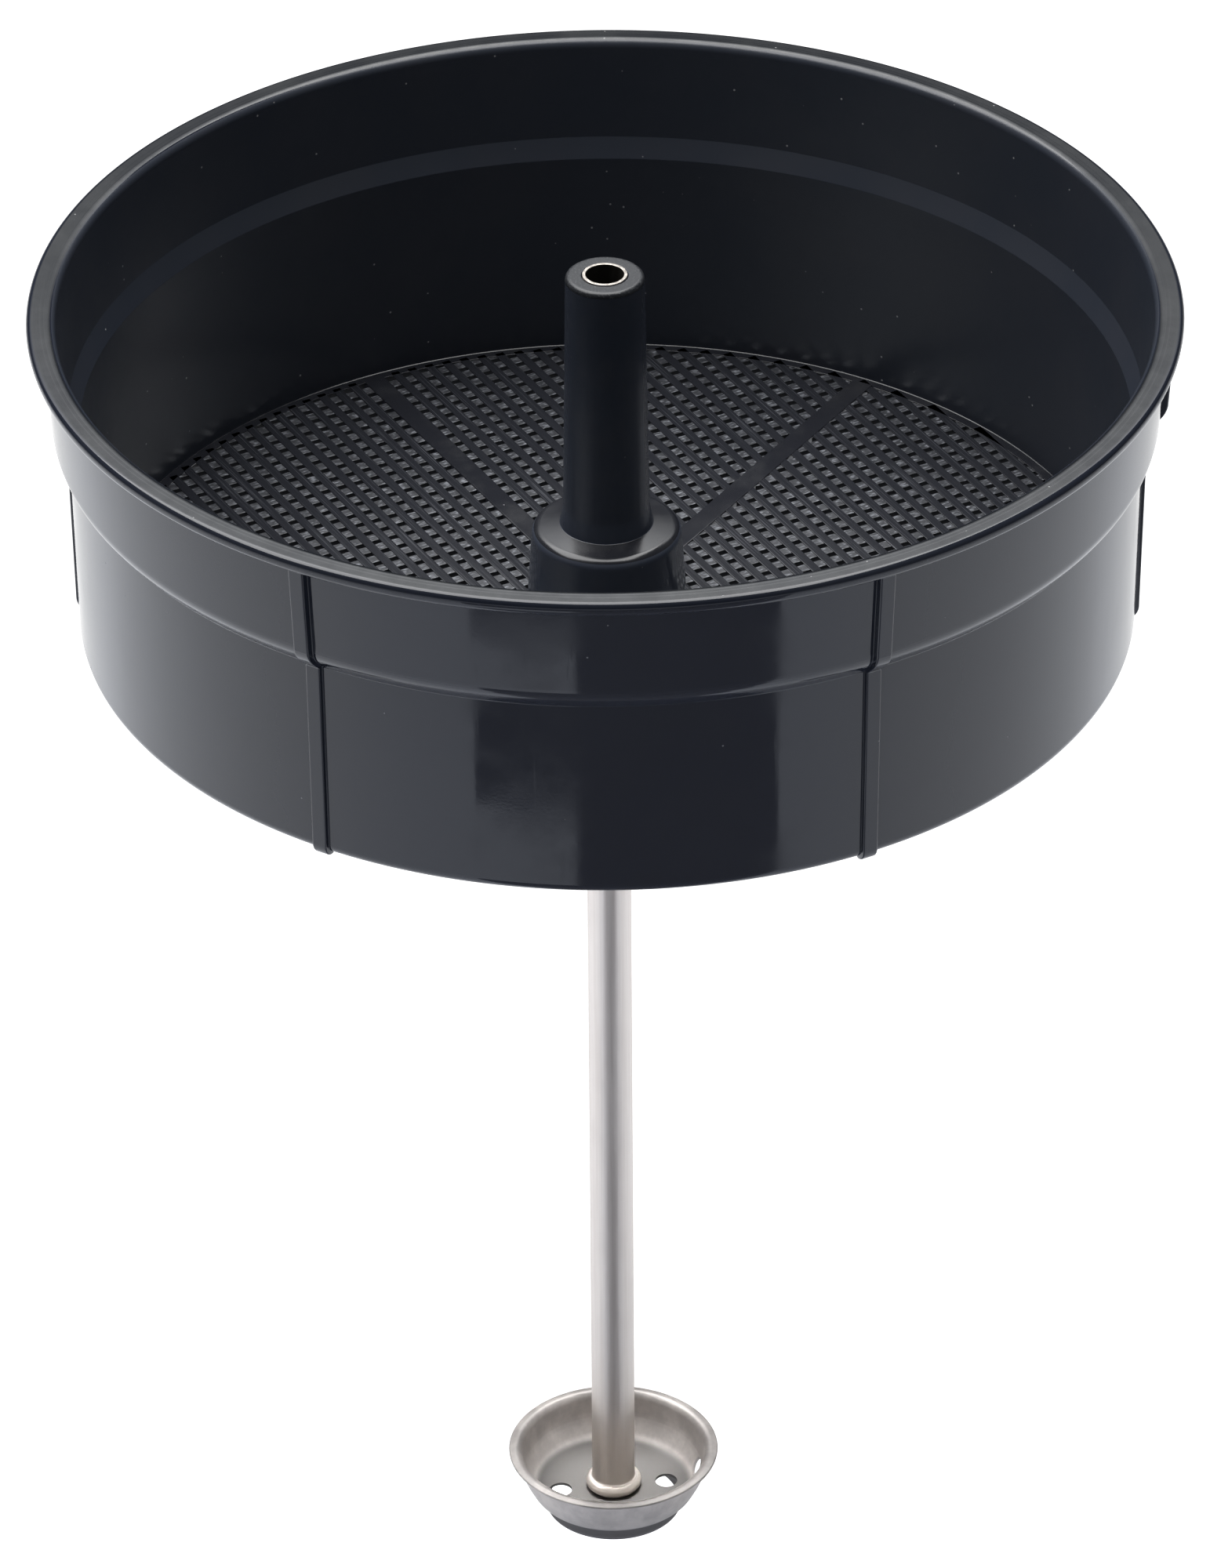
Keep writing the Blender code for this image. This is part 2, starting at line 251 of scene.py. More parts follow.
def finish_mesh(name, work, materials):
    """Makes a smooth-shaded object of the work, with sharp edges kept, and puts it in the scene."""
    bmesh.ops.recalc_face_normals(work, faces=work.faces)
    mesh = bpy.data.meshes.new(name)
    work.to_mesh(mesh)
    work.free()
    for material in materials:
        mesh.materials.append(material)
    mesh.shade_smooth()
    mesh.set_sharp_from_angle(angle=SHARP_ANGLE)
    piece = bpy.data.objects.new(name, mesh)
    bpy.context.scene.collection.objects.link(piece)
    return piece


def lathe(outline, angles, place=lambda r, z, angle: (r, z)):
    """A closed outline carried through the angles; place(r, z, angle) can move each point's (r, z)."""
    work = bmesh.new()
    rings = []
    for angle in angles:
        ring = []
        for r, z in outline:
            radius, height = place(r, z, angle)
            spot = (radius * math.cos(angle), radius * math.sin(angle), height)
            ring.append(work.verts.new(spot))
        rings.append(ring)
    for left, right in zip(rings, rings[1:] + rings[:1]):
        for i in range(len(outline)):
            j = (i + 1) % len(outline)
            work.faces.new((left[i], left[j], right[j], right[i]))
    return work


def even_angles(count):
    """That many headings, evenly round the circle."""
    return [math.tau * i / count for i in range(count)]


def add_piece(piece, body, node):
    """Hangs the piece on the body it rides on, and hides the CAD node it stands for."""
    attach(piece, body)
    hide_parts(node)


# ---------------------------------------------------------------- basket wall

def rib_section():
    """Half of a rib's cross-section: (distance from its middle, height over the wall)."""
    flat = RIB_HALF_WIDTH - RIB_EDGE
    section = [(0.0, RIB_PROUD), (0.8 * MM, RIB_PROUD), (flat - SUPPORT, RIB_PROUD)]
    for k in range(6):
        angle = math.radians(90.0 - 18.0 * k)
        section.append((flat + RIB_EDGE * math.cos(angle),
                        RIB_PROUD - RIB_EDGE + RIB_EDGE * math.sin(angle)))
    foot = RIB_HALF_WIDTH + 0.06 * MM + RIB_FILLET
    for k in range(5):
        angle = math.radians(180.0 + 22.5 * k)
        section.append((foot + RIB_FILLET * math.cos(angle),
                        RIB_FILLET + RIB_FILLET * math.sin(angle)))
    section += [(foot + SUPPORT, 0.0), (foot + 1.0 * MM, 0.0)]
    return section


def wall_angles(section):
    """Even columns round the wall, replaced by the rib's own columns at each rib."""
    reach = section[-1][0] / RIB_REFERENCE_RADIUS
    ribs = [RIB_PHASE + math.tau * k / RIB_COUNT for k in range(RIB_COUNT)]
    angles = []
    for angle in even_angles(WALL_COLUMNS):
        gaps = [abs((angle - rib + math.pi) % math.tau - math.pi) for rib in ribs]
        if min(gaps) > reach * 1.15:
            angles.append(angle)
    for rib in ribs:
        for distance, height in section:
            turn = distance / RIB_REFERENCE_RADIUS
            angles += [rib + turn, rib - turn] if distance > 0.0 else [rib]
    return sorted(angle % math.tau for angle in angles)


def rib_height(angle, section):
    """The rib's height over the wall at an angle, from 0 to 1."""
    pitch = math.tau / RIB_COUNT
    turn = abs((angle - RIB_PHASE + pitch / 2.0) % pitch - pitch / 2.0)
    distance = turn * RIB_REFERENCE_RADIUS
    for (d0, h0), (d1, h1) in zip(section, section[1:]):
        if distance <= d1 + 1e-9:
            return (h0 + (h1 - h0) * (distance - d0) / (d1 - d0)) / RIB_PROUD
    return 0.0


def ridge_corners():
    """The fine turned ridges on the rim's flat, which falls slightly outward."""
    corners = []
    for k in range(RIDGE_COUNT):
        out = RIDGE_START + RIDGE_PITCH * k
        height = RIM_HEIGHT - RIM_FALL * out / (RIM_RADIUS - INNER_TOP_RADIUS)
        corners.append((INNER_TOP_RADIUS + out, height, 0.0))
        corners.append((INNER_TOP_RADIUS + out + RIDGE_PITCH / 2.0, height - RIDGE_DEPTH, 0.0))
    return corners


def wall_corners():
    """The wall's outline, from the rim's inner edge outward, down the outside and up the inside."""
    lip_foot = RIM_HEIGHT - LIP_DEPTH
    parting = RIM_HEIGHT - PARTING_DEPTH
    step_top = (STEP_RADIUS, RIM_HEIGHT - STEP_DEPTH)
    step_foot = (LOWER_WALL_RADIUS, RIM_HEIGHT - STEP_DEPTH - STEP_FALL)
    lead = (STEP_RADIUS - 0.15 * MM, step_top[1] - 2.4 * MM)
    trail = (STEP_RADIUS - 1.3 * MM, step_top[1] - 3.6 * MM)
    corners = [(INNER_TOP_RADIUS, RIM_HEIGHT, RIM_INNER_ROUND)]
    corners += ridge_corners()
    corners += [(RIM_RADIUS, RIM_HEIGHT - RIM_FALL, RIM_OUTER_ROUND)]
    corners += [(RIM_RADIUS, parting, 0.0)]
    corners += [(RIM_RADIUS - PARTING_STEP, parting - PARTING_STEP, 0.0)]
    corners += [(RIM_RADIUS - LIP_TAPER, lip_foot, LIP_ROUND)]
    corners += [(UPPER_WALL_RADIUS, lip_foot, 0.5 * MM)]
    corners += [(*step_top, 0.0)]
    corners += curve_points(step_top, lead, trail, step_foot, 10)
    corners += [(*step_foot, 0.35 * MM)]
    corners += [(FLOOR_WALL_RADIUS, BASKET_BOTTOM, FLOOR_ROUND)]
    corners += [(INNER_FLOOR_RADIUS, BASKET_BOTTOM, 0.0)]
    corners += [(LEDGE_FOOT_RADIUS, RIM_HEIGHT - LEDGE_DEPTH - LEDGE_FALL, 0.3 * MM)]
    corners += [(LEDGE_RADIUS, RIM_HEIGHT - LEDGE_DEPTH, 0.25 * MM)]
    return corners


def make_wall(gloss, rim, inner):
    """The wall with its ribs, in three finishes: the outside, the rim's turned flat and the inside."""
    section = rib_section()
    lip_foot = RIM_HEIGHT - LIP_DEPTH
    step_foot = RIM_HEIGHT - STEP_DEPTH - STEP_FALL

    def place(r, z, angle):
        height = rib_height(angle, section)
        if height <= 0.0 or z > lip_foot - 0.05 * MM or r < wall_middle(z):
            return r, z
        above = min(max((z - step_foot) / STEP_FALL, 0.0), 1.0)
        proud = RIB_PROUD * (RIB_LOWER_SHARE + (1.0 - RIB_LOWER_SHARE) * above)
        sink = min(max((BASKET_BOTTOM + FLOOR_ROUND - z) / FLOOR_ROUND, 0.0), 1.0)
        return r + proud * height, z - RIB_TAIL * height * sink

    work = lathe(filleted(wall_corners()), wall_angles(section), place)
    for face in work.faces:
        spot = face.calc_center_median()
        radius = math.hypot(spot.x, spot.y)
        if spot.z > RIM_HEIGHT - RIM_FINISH_DEPTH and radius < RIM_RADIUS - RIM_FINISH_MARGIN:
            face.material_index = 1
        elif spot.z < RIM_HEIGHT - INNER_FINISH_DEPTH and radius < wall_middle(spot.z):
            face.material_index = 2
    piece = finish_mesh("basket_wall", work, (gloss, rim, inner))
    add_piece(piece, "basket", "basket_shell")


def wall_middle(z):
    """A radius inside the wall's thickness at a height, which parts its outer from its inner side."""
    depth = RIM_HEIGHT - z
    depths = (0.0, STEP_DEPTH, STEP_DEPTH + STEP_FALL, RIM_HEIGHT - BASKET_BOTTOM)
    part = 0 if depth < depths[1] else 1 if depth < depths[2] else 2
    share = (depth - depths[part]) / (depths[part + 1] - depths[part])
    return MIDDLE_RADII[part] + (MIDDLE_RADII[part + 1] - MIDDLE_RADII[part]) * share


# ---------------------------------------------------------------- sieve

def add_bar(work, angle, offset, start, end, width, low, high, edge, side_finish=0):
    """A straight bar with eased upper edges, along the angle at a sideways offset. Its sides and
    underside take the side finish."""
    half = width / 2.0
    eased = [(half, high - edge), (half - 0.3 * edge, high - 0.3 * edge), (half - edge, high),
             (half - edge - 0.1 * MM, high)]
    section = [(-half, low), (half, low)] + eased + [(-u, z) for u, z in reversed(eased)]
    along = Vector((math.cos(angle), math.sin(angle), 0.0))
    across = Vector((-math.sin(angle), math.cos(angle), 0.0))
    ends = []
    for reach in (start, end):
        middle = along * reach + across * offset
        ends.append([work.verts.new(middle + across * u + UP * z) for u, z in section])
    count = len(section)
    for i in range(count):
        j = (i + 1) % count
        side = work.faces.new((ends[0][i], ends[0][j], ends[1][j], ends[1][i]))
        side.material_index = side_finish if i in (0, 1, count - 1) else 0
    work.faces.new(list(reversed(ends[0]))).material_index = side_finish
    work.faces.new(ends[1]).material_index = side_finish


def add_lattice_layer(work, angle, offsets, width, low, high, side_finish):
    """Parallel bars from wall to wall; those that meet the boss are parted by it."""
    reach_out = INNER_FLOOR_RADIUS - 0.5 * RING_WIDTH
    for offset in offsets:
        if abs(offset) > reach_out - 0.5 * MM:
            continue
        outer = math.sqrt(reach_out ** 2 - offset ** 2)
        if abs(offset) < BOSS_REACH:
            inner = math.sqrt(BOSS_REACH ** 2 - offset ** 2)
            spans = ((-outer, -inner), (inner, outer))
        else:
            spans = ((-outer, outer),)
        for start, end in spans:
            add_bar(work, angle, offset, start, end, width, low, high, SIEVE_EDGE, side_finish)


def make_sieve(bar_finish, cross_finish, flat_finish, shaded_recess_finish):
    """Two crossed layers of bars, and the solid ring and spokes that hold them."""
    steps = int(INNER_FLOOR_RADIUS / LATTICE_PITCH) + 1
    first = SPOKE_WIDTH / 2.0 + (LATTICE_PITCH - BAR_WIDTH) + BAR_WIDTH / 2.0
    uppers = [side * (first + k * LATTICE_PITCH) for k in range(steps) for side in (1, -1)]
    lowers = [k * LATTICE_PITCH for k in range(-steps, steps + 1)]
    low = SIEVE_TOP - BAR_HEIGHT
    work = bmesh.new()
    add_lattice_layer(work, LATTICE_ANGLE, uppers, BAR_WIDTH, low, SIEVE_TOP, 0)
    upper = finish_mesh("sieve_top_bars", work, (bar_finish,))
    work = bmesh.new()
    top = low + 0.02 * MM
    crossing = LATTICE_ANGLE + math.pi / 2.0
    # The lower bars' sides and undersides take slot 1, the painted shade of the gaps.
    add_lattice_layer(work, crossing, lowers, CROSS_WIDTH, top - CROSS_HEIGHT, top, 1)
    lower = finish_mesh("sieve_cross_bars", work, (cross_finish, shaded_recess_finish))
    edging = make_sieve_frame(flat_finish, shaded_recess_finish)
    for piece in (upper, lower, edging):
        add_piece(piece, "basket", "sieve_floor")


def make_sieve_frame(flat_finish, shaded_recess_finish):
    """The solid parts of the floor: the ring at the wall and the six spokes."""
    outer = INNER_FLOOR_RADIUS + 0.1 * MM
    inner = INNER_FLOOR_RADIUS - RING_WIDTH
    flash = SIEVE_TOP + 0.12 * MM
    corners = [(inner, SIEVE_TOP, SIEVE_EDGE), (outer - 0.3 * MM, SIEVE_TOP, 0.05 * MM)]
    corners += [(outer - 0.1 * MM, flash, 0.04 * MM), (outer, flash, 0.0)]
    corners += [(outer, BASKET_BOTTOM, 0.0), (inner, BASKET_BOTTOM, 0.0)]
    work = lathe(filleted(corners), even_angles(WALL_COLUMNS))
    # The ring's underside takes slot 1, the painted shade.
    for face in work.faces:
        if face.calc_center_median().z < SIEVE_TOP - 0.2 * MM:
            face.material_index = 1
    for k in range(RIB_COUNT):
        angle = RIB_PHASE + k * math.tau / RIB_COUNT
        add_bar(work, angle, 0.0, BOSS_REACH - 0.3 * MM, inner + 0.5 * MM, SPOKE_WIDTH,
                BASKET_BOTTOM - 0.01 * MM, SIEVE_TOP + SPOKE_PROUD, 0.2 * MM)
    return finish_mesh("sieve_ring_and_spokes", work, (flat_finish, shaded_recess_finish))


# ---------------------------------------------------------------- boss and stem

def hub_corners():
    """The hollow boss and the stem, from the stem's mouth down the outside and back up the inside."""
    stem_foot = BOSS_TOP + STEM_FOOT_HEIGHT
    corners = [(STEM_BORE, STEM_TOP, 0.15 * MM), (STEM_RADIUS, STEM_TOP, 1.1 * MM)]
    corners += [(9.65 * MM, BOSS_TOP + 6.0 * MM, 9.0 * MM), (STEM_FOOT_RADIUS, stem_foot, 0.2 * MM)]
    corners += [(14.6 * MM, BOSS_TOP + 0.75 * MM, 4.0 * MM)]
    corners += [(16.6 * MM, BOSS_TOP + 0.5 * MM, 2.4 * MM)]
    corners += [(BOSS_FOOT_RADIUS, BASKET_BOTTOM, 0.0), (BOSS_FOOT_BORE, BASKET_BOTTOM, 0.0)]
    corners += [(14.2 * MM, BOSS_CEILING, 1.0 * MM), (STEM_BORE, BOSS_CEILING, 0.0)]
    return corners


def make_hub(satin, worn, rubbed):
    """Boss and stem, in three finishes: the sides, the stem's mouth and the boss's top."""
    work = lathe(filleted(hub_corners()), even_angles(TURNED_COLUMNS))
    for face in work.faces:
        spot = face.calc_center_median()
        radius = math.hypot(spot.x, spot.y)
        if spot.z > STEM_TOP - MOUTH_WEAR_DEPTH and radius > STEM_BORE + 0.1 * MM:
            face.material_index = 1
        elif BOSS_TOP < spot.z < BOSS_TOP + STEM_FOOT_HEIGHT and radius > STEM_FOOT_RADIUS + 0.05 * MM:
            face.material_index = 2
    piece = finish_mesh("boss_and_stem", work, (satin, worn, rubbed))
    add_piece(piece, "basket", "centre_hub")


# ---------------------------------------------------------------- riser tube

def tube_corners():
    """The tube with the stop bead under the boss, and the bead and flare that grip the cup's floor."""
    stop_foot = STOP_TOP - STOP_HEIGHT
    bead_low, bead_high = CUP_FLOOR + 0.3 * MM, CUP_FLOOR + 3.2 * MM
    flare = CUP_FLOOR - 1.0 * MM
    corners = [(TUBE_RADIUS, TUBE_TOP, 0.12 * MM), (TUBE_RADIUS, STOP_TOP, 0.3 * MM)]
    corners += [(STOP_RADIUS, STOP_TOP, 1.3 * MM), (STOP_RADIUS, stop_foot, 1.3 * MM)]
    corners += [(TUBE_RADIUS, stop_foot, 0.4 * MM), (TUBE_RADIUS, bead_high, 0.5 * MM)]
    corners += [(BEAD_RADIUS, bead_high, BEAD_ROUND), (BEAD_RADIUS, bead_low, BEAD_ROUND)]
    corners += [(TUBE_RADIUS, bead_low, 0.0), (TUBE_RADIUS, flare, 0.0)]
    corners += [(FLARE_RADIUS, flare, 0.2 * MM), (FLARE_RADIUS, TUBE_FOOT, 0.2 * MM)]
    corners += [(TUBE_BORE, TUBE_FOOT, 0.1 * MM), (TUBE_BORE, TUBE_TOP, 0.1 * MM)]
    return corners


def uneven_cut(r, z, angle):
    """Lets the tube's sawn top rise and fall slightly round its edge."""
    if z < TUBE_TOP - 0.2 * MM:
        return r, z
    around = Vector((math.cos(angle), math.sin(angle), 0.0)) * 3.0
    return r, z - CUT_WAVE * (0.5 + 0.5 * noise.noise(around)) - 0.02 * MM


def make_tube(steel, cut_end, tinted):
    """The riser tube, in three finishes: the outside, the sawn top and the bore."""
    work = lathe(filleted(tube_corners()), even_angles(TUBE_COLUMNS), uneven_cut)
    # The bore's faces take slot 2, the painted shade.
    for face in work.faces:
        spot = face.calc_center_median()
        if spot.z > TUBE_TOP - 0.3 * MM:
            face.material_index = 1
        elif math.hypot(spot.x, spot.y) < TUBE_BORE + 0.05 * MM:
            face.material_index = 2
    piece = finish_mesh("riser_tube_drawn", work, (steel, cut_end, tinted))
    add_piece(piece, "pump", "riser_tube")


# ---------------------------------------------------------------- foot cup and seal

def cup_corners():
    """The cup's pressed sheet: the inside from the floor to the flange, then the underside back."""
    under = CUP_FLOOR - SHEET
    under_rim = CUP_RIM - SHEET
    corners = [(CUP_BORE, CUP_FLOOR, 0.1 * MM), (CUP_FLOOR_RADIUS, CUP_FLOOR, 3.4 * MM)]
    corners += [(CUP_WAIST_RADIUS, CUP_WAIST_HEIGHT, 7.0 * MM)]
    corners += [(CUP_MOUTH - 0.9 * MM, CUP_RIM, 1.7 * MM)]
    corners += [(CUP_EDGE, CUP_RIM - 0.45 * MM, 0.35 * MM)]
    corners += [(CUP_EDGE - 0.1 * MM, under_rim - 0.4 * MM, 0.3 * MM)]
    corners += [(CUP_MOUTH - 0.15 * MM, under_rim - 0.1 * MM, 0.7 * MM)]
    corners += [(CUP_WAIST_RADIUS + 0.75 * MM, CUP_WAIST_HEIGHT - 0.2 * MM, 7.7 * MM)]
    corners += [(CUP_FLOOR_RADIUS + 0.3 * MM, under, 4.1 * MM)]
    corners += [(CUP_BORE, under, 0.1 * MM)]
    return corners


def cutter(location, axis, radius):
    """A round rod centred on the location, along the axis."""
    work = bmesh.new()
    bmesh.ops.create_cone(work, cap_ends=True, segments=48, radius1=radius, radius2=radius,
                          depth=CUTTER_LENGTH)
    mesh = bpy.data.meshes.new("bore")
    work.to_mesh(mesh)
    work.free()
    rod = bpy.data.objects.new("bore", mesh)
    bpy.context.scene.collection.objects.link(rod)
    turn = axis.to_track_quat('Z', 'Y').to_matrix().to_4x4()
    rod.matrix_world = Matrix.Translation(location) @ turn
    return rod


def bored(piece, location, axis, radius):
    """Cuts a round hole of that radius along an axis, and drops the cutter again."""
    rod = cutter(location, axis, radius)
    cut = piece.modifiers.new("bore", 'BOOLEAN')
    cut.operation = 'DIFFERENCE'
    cut.solver = 'EXACT'
    cut.object = rod
    bpy.context.view_layer.update()
    shown = piece.evaluated_get(bpy.context.evaluated_depsgraph_get())
    result = bpy.data.meshes.new_from_object(shown)
    piece.modifiers.clear()
    piece.data = result
    bpy.data.objects.remove(rod, do_unlink=True)


def make_cup(steel):
    """The pressed cup, with two holes in its floor and one low in its wall."""
    work = lathe(filleted(cup_corners()), even_angles(TURNED_COLUMNS))
    piece = finish_mesh("foot_cup_pressed", work, (steel,))
    line = Vector((math.cos(HOLE_HEADING), math.sin(HOLE_HEADING), 0.0))
    for reach in (FLOOR_HOLE_REACH, -FLOOR_HOLE_REACH):
        bored(piece, line * reach + UP * CUP_FLOOR, UP, FLOOR_HOLE_RADIUS)
    wall_hole = line * WALL_HOLE_REACH + UP * WALL_HOLE_HEIGHT
    bored(piece, wall_hole, line * 0.8 - UP * 0.6, WALL_HOLE_RADIUS)
    piece.data.shade_smooth()
    piece.data.set_sharp_from_angle(angle=CUP_SHARP_ANGLE)
    add_piece(piece, "pump", "foot_cup")


def make_seal(rubber):
    """The ring under the cup, which tapers toward its foot."""
    corners = [(SEAL_BORE, SEAL_TOP, 0.1 * MM), (SEAL_TOP_RADIUS, SEAL_TOP, 0.35 * MM)]
    corners += [(16.25 * MM, 0.9 * MM, 0.3 * MM), (SEAL_FOOT_RADIUS, 0.0, 0.3 * MM)]
    corners += [(SEAL_BORE, 0.0, 0.1 * MM)]
    work = lathe(filleted(corners), even_angles(TURNED_COLUMNS))
    piece = finish_mesh("foot_seal_ring", work, (rubber,))
    add_piece(piece, "pump", "foot_seal")


# ---------------------------------------------------------------- materials

def node(tree, kind, settings, inputs):
    """A node with its settings, and each input set to a value or linked to another node's output."""
    made = tree.nodes.new(kind)
    for key, value in settings.items():
        setattr(made, key, value)
    for key, value in inputs.items():
        if isinstance(value, bpy.types.NodeSocket):
            tree.links.new(value, made.inputs[key])
        else:
            made.inputs[key].default_value = value
    return made


def start(name, roughness, metallic=0.0):
    """A new material: (material, its tree, its shader, the piece's own coordinates in metres)."""
    material = bpy.data.materials.new(name)
    material.use_nodes = True
    tree = material.node_tree
    shader = tree.nodes["Principled BSDF"]
    shader.inputs["Metallic"].default_value = metallic
    shader.inputs["Roughness"].default_value = roughness
    place = node(tree, 'ShaderNodeTexCoord', {}, {}).outputs["Object"]
    return material, tree, shader, place


def noise_of(tree, place, scale, detail=3.0, rough=0.5, stretch=(1.0, 1.0, 1.0), turn=0.0):
    """Noise, with the place turned about Z and then stretched before it is read."""
    vector = place
    if turn:
        spun = node(tree, 'ShaderNodeVectorRotate', {"rotation_type": 'Z_AXIS'},
                    {"Vector": place, "Angle": turn})
        vector = spun.outputs["Vector"]
    if stretch != (1.0, 1.0, 1.0):
        pulled = node(tree, 'ShaderNodeVectorMath', {"operation": 'MULTIPLY'}, {0: vector, 1: stretch})
        vector = pulled.outputs["Vector"]
    made = node(tree, 'ShaderNodeTexNoise', {}, {"Vector": vector, "Scale": scale, "Detail": detail,
                                                 "Roughness": rough})
    return made.outputs["Fac"]


def spread(tree, value, low, high, to_low, to_high):
    """The value mapped from low..high to to_low..to_high, with eased ends and never past them."""
    made = node(tree, 'ShaderNodeMapRange', {"interpolation_type": 'SMOOTHSTEP'},
                {"Value": value, "From Min": low, "From Max": high, "To Min": to_low, "To Max": to_high})
    return made.outputs["Result"]


def tint(tree, factor, first, second):
    """A colour between the first (factor 0) and the second (factor 1)."""
    made = node(tree, 'ShaderNodeMix', {"data_type": 'RGBA'}, {})
    tree.links.new(factor, made.inputs[0])
    for index, colour in ((6, first), (7, second)):
        if isinstance(colour, bpy.types.NodeSocket):
            tree.links.new(colour, made.inputs[index])
        else:
            made.inputs[index].default_value = (*colour, 1.0)
    return made.outputs[2]


def combine(tree, operation, first, second):
    """A sum, product or comparison of two values."""
    made = node(tree, 'ShaderNodeMath', {"operation": operation}, {0: first, 1: second})
    return made.outputs[0]


def bump(tree, height, distance, strength, under=None):
    """A normal bent by the height; an under normal is bent further."""
    inputs = {"Height": height, "Distance": distance, "Strength": strength}
    if under is not None:
        inputs["Normal"] = under
    return node(tree, 'ShaderNodeBump', {}, inputs).outputs["Normal"]


def axis_of(tree, vector, axis):
    """One part of the vector: X, Y or Z."""
    return node(tree, 'ShaderNodeSeparateXYZ', {}, {"Vector": vector}).outputs[axis]


def level_of(tree, vector):
    """The vector without its Z part."""
    made = node(tree, 'ShaderNodeVectorMath', {"operation": 'MULTIPLY'}, {0: vector, 1: (1.0, 1.0, 0.0)})
    return made.outputs["Vector"]


def connect(tree, shader, **outputs):
    """Links outputs to the shader's inputs; Base_Color stands for the input Base Color."""
    for name, output in outputs.items():
        tree.links.new(output, shader.inputs[name.replace("_", " ")])


def specks(tree, place, scale, size, share):
    """Sparse round dust specks: 1 inside a speck and 0 elsewhere."""
    cells = node(tree, 'ShaderNodeTexVoronoi', {}, {"Vector": place, "Scale": scale})
    near = spread(tree, cells.outputs["Distance"], size * 0.5, size, 1.0, 0.0)
    parts = node(tree, 'ShaderNodeSeparateColor', {}, {"Color": cells.outputs["Color"]})
    chosen = combine(tree, 'LESS_THAN', parts.outputs[0], share)
    return combine(tree, 'MULTIPLY', near, chosen)


def gloss_plastic():
    """Blue-black moulded plastic with a deep gloss, faint flow marks, dust and handling smudges."""
    material, tree, shader, place = start("gloss_plastic", 0.1)
    cloud = noise_of(tree, place, 28.0, 4.0)
    clouded = spread(tree, cloud, 0.35, 0.7, 0.0, 1.0)
    body = tint(tree, clouded, (0.0150, 0.0178, 0.0270), (0.0170, 0.0200, 0.0290))
    dust = specks(tree, place, 210.0, 0.055, 0.16)
    colour = tint(tree, dust, body, (0.16, 0.165, 0.18))
    smudge = noise_of(tree, place, 60.0, 5.0, 0.6)
    finish = spread(tree, smudge, 0.35, 0.75, 0.055, 0.16)
    lines = noise_of(tree, place, 900.0, 2.0, 0.5, (1.0, 1.0, 0.05))
    flowed = combine(tree, 'ADD', finish, spread(tree, lines, 0.62, 0.75, 0.0, 0.05))
    rough = combine(tree, 'ADD', flowed, combine(tree, 'MULTIPLY', dust, 0.4))
    waves = bump(tree, noise_of(tree, place, 35.0, 2.0), 0.00012, 0.5)
    grain = bump(tree, noise_of(tree, place, 1400.0, 2.0), 0.000004, 0.5, waves)
    connect(tree, shader, Base_Color=colour, Roughness=rough, Normal=grain)
    return material


def inner_plastic():
    """The basket's inside: the same plastic, softer in its shine, with specks and faint stains, and painted
    light: its colour about twice as light as the outside's.
    """
    material, tree, shader, place = start("inner_plastic", 0.2)
    cloud = noise_of(tree, place, 40.0, 4.0)
    clouded = spread(tree, cloud, 0.35, 0.7, 0.0, 1.0)
    # painted light: this base is about twice the outside plastic's, a lit copy of the same plastic
    body = tint(tree, clouded, (0.0270, 0.0320, 0.0440), (0.0310, 0.0350, 0.0460))
    dust = specks(tree, place, 240.0, 0.075, 0.34)
    colour = tint(tree, dust, body, (0.34, 0.34, 0.35))
    rough = spread(tree, noise_of(tree, place, 50.0, 5.0, 0.6), 0.35, 0.75, 0.285, 0.35)
    waves = bump(tree, noise_of(tree, place, 30.0, 2.0), 0.0001, 0.5)
    grain = bump(tree, noise_of(tree, place, 1200.0, 2.0), 0.000002, 0.5, waves)
    connect(tree, shader, Base_Color=colour, Roughness=rough, Normal=grain)
    return material


def rim_plastic():
    """The rim's turned flat: satin, with fine concentric lines and small nicks."""
    material, tree, shader, place = start("rim_plastic", 0.28)
    radius = node(tree, 'ShaderNodeVectorMath', {"operation": 'LENGTH'}, {0: level_of(tree, place)})
    lines = node(tree, 'ShaderNodeTexNoise', {"noise_dimensions": '1D'},
                 {"W": radius.outputs["Value"], "Scale": 3200.0, "Detail": 4.0, "Roughness": 0.7})
    lines = lines.outputs["Fac"]
    patches = noise_of(tree, place, 45.0, 4.0, 0.6)
    patched = spread(tree, patches, 0.3, 0.75, 0.0, 1.0)
    body = tint(tree, patched, (0.010, 0.0115, 0.0145), (0.019, 0.0205, 0.0225))
    dust = specks(tree, place, 330.0, 0.09, 0.2)
    colour = tint(tree, dust, body, (0.22, 0.22, 0.22))
    turned = spread(tree, lines, 0.3, 0.7, 0.14, 0.18)
    rough = combine(tree, 'ADD', turned, spread(tree, patches, 0.4, 0.8, 0.0, 0.05))
    wear = spread(tree, noise_of(tree, place, 160.0, 4.0, 0.65), 0.3, 0.7, 0.34, 0.5)
    sheen = combine(tree, 'ADD', wear, spread(tree, lines, 0.35, 0.65, 0.0, 0.14))
    ridges = bump(tree, lines, 0.0000005, 0.6)
    grit = bump(tree, noise_of(tree, place, 1500.0, 3.0, 0.6), 0.0000015, 0.5, ridges)
    connect(tree, shader, Base_Color=colour, Roughness=rough, Specular_IOR_Level=sheen, Normal=grit)
    return material


